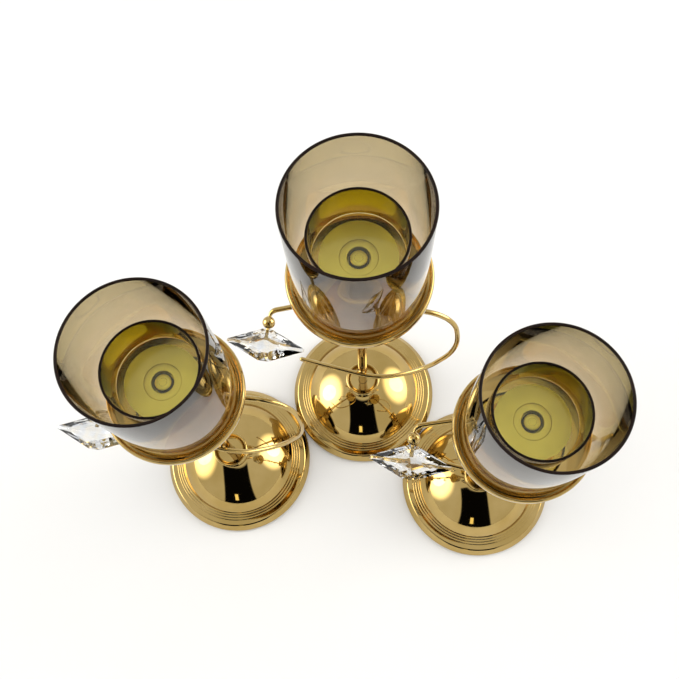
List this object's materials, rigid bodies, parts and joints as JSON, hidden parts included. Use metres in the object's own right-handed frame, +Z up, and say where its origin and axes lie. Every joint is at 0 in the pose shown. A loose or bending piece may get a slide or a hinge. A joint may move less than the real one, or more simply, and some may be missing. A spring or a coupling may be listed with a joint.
{
  "type": "tealight holder stand",
  "caption": "Set of slim metal stands of stepped height, each with a domed base, a bent wire arm with a cut crystal, and a round tray with a glass chimney around a raised tealight cup.",
  "frame": {"origin": "on the ground, under the middle of the box around all three stands", "axes": "+Z up; +Y away from the viewer of the picture; +X to the right; the wire loops reach towards +X and the crystals hang towards -X"},
  "size_m": [0.3014, 0.1786, 0.31],
  "materials": {
    "polished_gold": "mirror polished brass plate",
    "steel": "zinc plated",
    "black_felt": "short pile felt",
    "lustre_glass": "smooth smoky amber lustre",
    "amber_glass": "smooth olive amber tint",
    "clear_crystal": "clear, facet cut"
  },
  "bodies": {
    "stands": {"tall_base_shell": "polished_gold", "tall_felt_pad": "black_felt", "tall_base_washer": "steel", "tall_base_nut": "steel", "tall_stem_collar": "polished_gold", "tall_stem": "polished_gold", "tall_wire_arm": "polished_gold", "tall_hanger_pin": "polished_gold", "tall_drop_ball": "polished_gold", "tall_tray": "polished_gold", "tall_cup_spool": "polished_gold", "tall_top_washer": "polished_gold", "tall_top_nut": "polished_gold", "medium_base_shell": "polished_gold", "medium_felt_pad": "black_felt", "medium_base_washer": "steel", "medium_base_nut": "steel", "medium_stem_collar": "polished_gold", "medium_stem": "polished_gold", "medium_wire_arm": "polished_gold", "medium_hanger_pin": "polished_gold", "medium_drop_ball": "polished_gold", "medium_tray": "polished_gold", "medium_cup_spool": "polished_gold", "medium_top_washer": "polished_gold", "medium_top_nut": "polished_gold", "short_base_shell": "polished_gold", "short_felt_pad": "black_felt", "short_base_washer": "steel", "short_base_nut": "steel", "short_stem_collar": "polished_gold", "short_stem": "polished_gold", "short_wire_arm": "polished_gold", "short_hanger_pin": "polished_gold", "short_drop_ball": "polished_gold", "short_tray": "polished_gold", "short_cup_spool": "polished_gold", "short_top_washer": "polished_gold", "short_top_nut": "polished_gold"},
    "tall_chimney": {"tall_glass_chimney": "lustre_glass"},
    "tall_cup": {"tall_glass_cup": "amber_glass"},
    "tall_crystal_drop": {"tall_crystal": "clear_crystal"},
    "medium_chimney": {"medium_glass_chimney": "lustre_glass"},
    "medium_cup": {"medium_glass_cup": "amber_glass"},
    "medium_crystal_drop": {"medium_crystal": "clear_crystal"},
    "short_chimney": {"short_glass_chimney": "lustre_glass"},
    "short_cup": {"short_glass_cup": "amber_glass"},
    "short_crystal_drop": {"short_crystal": "clear_crystal"}
  },
  "joints": [
    {"name": "tall_chimney_lift", "type": "slide", "parent": "stands", "child": "tall_chimney", "axis": [0, 0, 1], "range_m": [0, 0.08]},
    {"name": "tall_cup_lift", "type": "slide", "parent": "stands", "child": "tall_cup", "axis": [0, 0, 1], "range_m": [0, 0.06]},
    {"name": "tall_crystal_turn", "type": "hinge", "parent": "stands", "child": "tall_crystal_drop", "pos_m": [-0.02948, 0.04635, 0.161], "axis": [-0.2614, -0.9426, -0.2079], "continuous": true},
    {"name": "medium_chimney_lift", "type": "slide", "parent": "stands", "child": "medium_chimney", "axis": [0, 0, 1], "range_m": [0, 0.08]},
    {"name": "medium_cup_lift", "type": "slide", "parent": "stands", "child": "medium_cup", "axis": [0, 0, 1], "range_m": [0, 0.06]},
    {"name": "medium_crystal_turn", "type": "hinge", "parent": "stands", "child": "medium_crystal_drop", "pos_m": [-0.12593, 0.00797, 0.161], "axis": [-0.2614, -0.9426, -0.2079], "continuous": true},
    {"name": "short_chimney_lift", "type": "slide", "parent": "stands", "child": "short_chimney", "axis": [0, 0, 1], "range_m": [0, 0.08]},
    {"name": "short_cup_lift", "type": "slide", "parent": "stands", "child": "short_cup", "axis": [0, 0, 1], "range_m": [0, 0.06]},
    {"name": "short_crystal_turn", "type": "hinge", "parent": "stands", "child": "short_crystal_drop", "pos_m": [0.04197, -0.02895, 0.161], "axis": [-0.2614, -0.9426, -0.2079], "continuous": true}
  ]
}
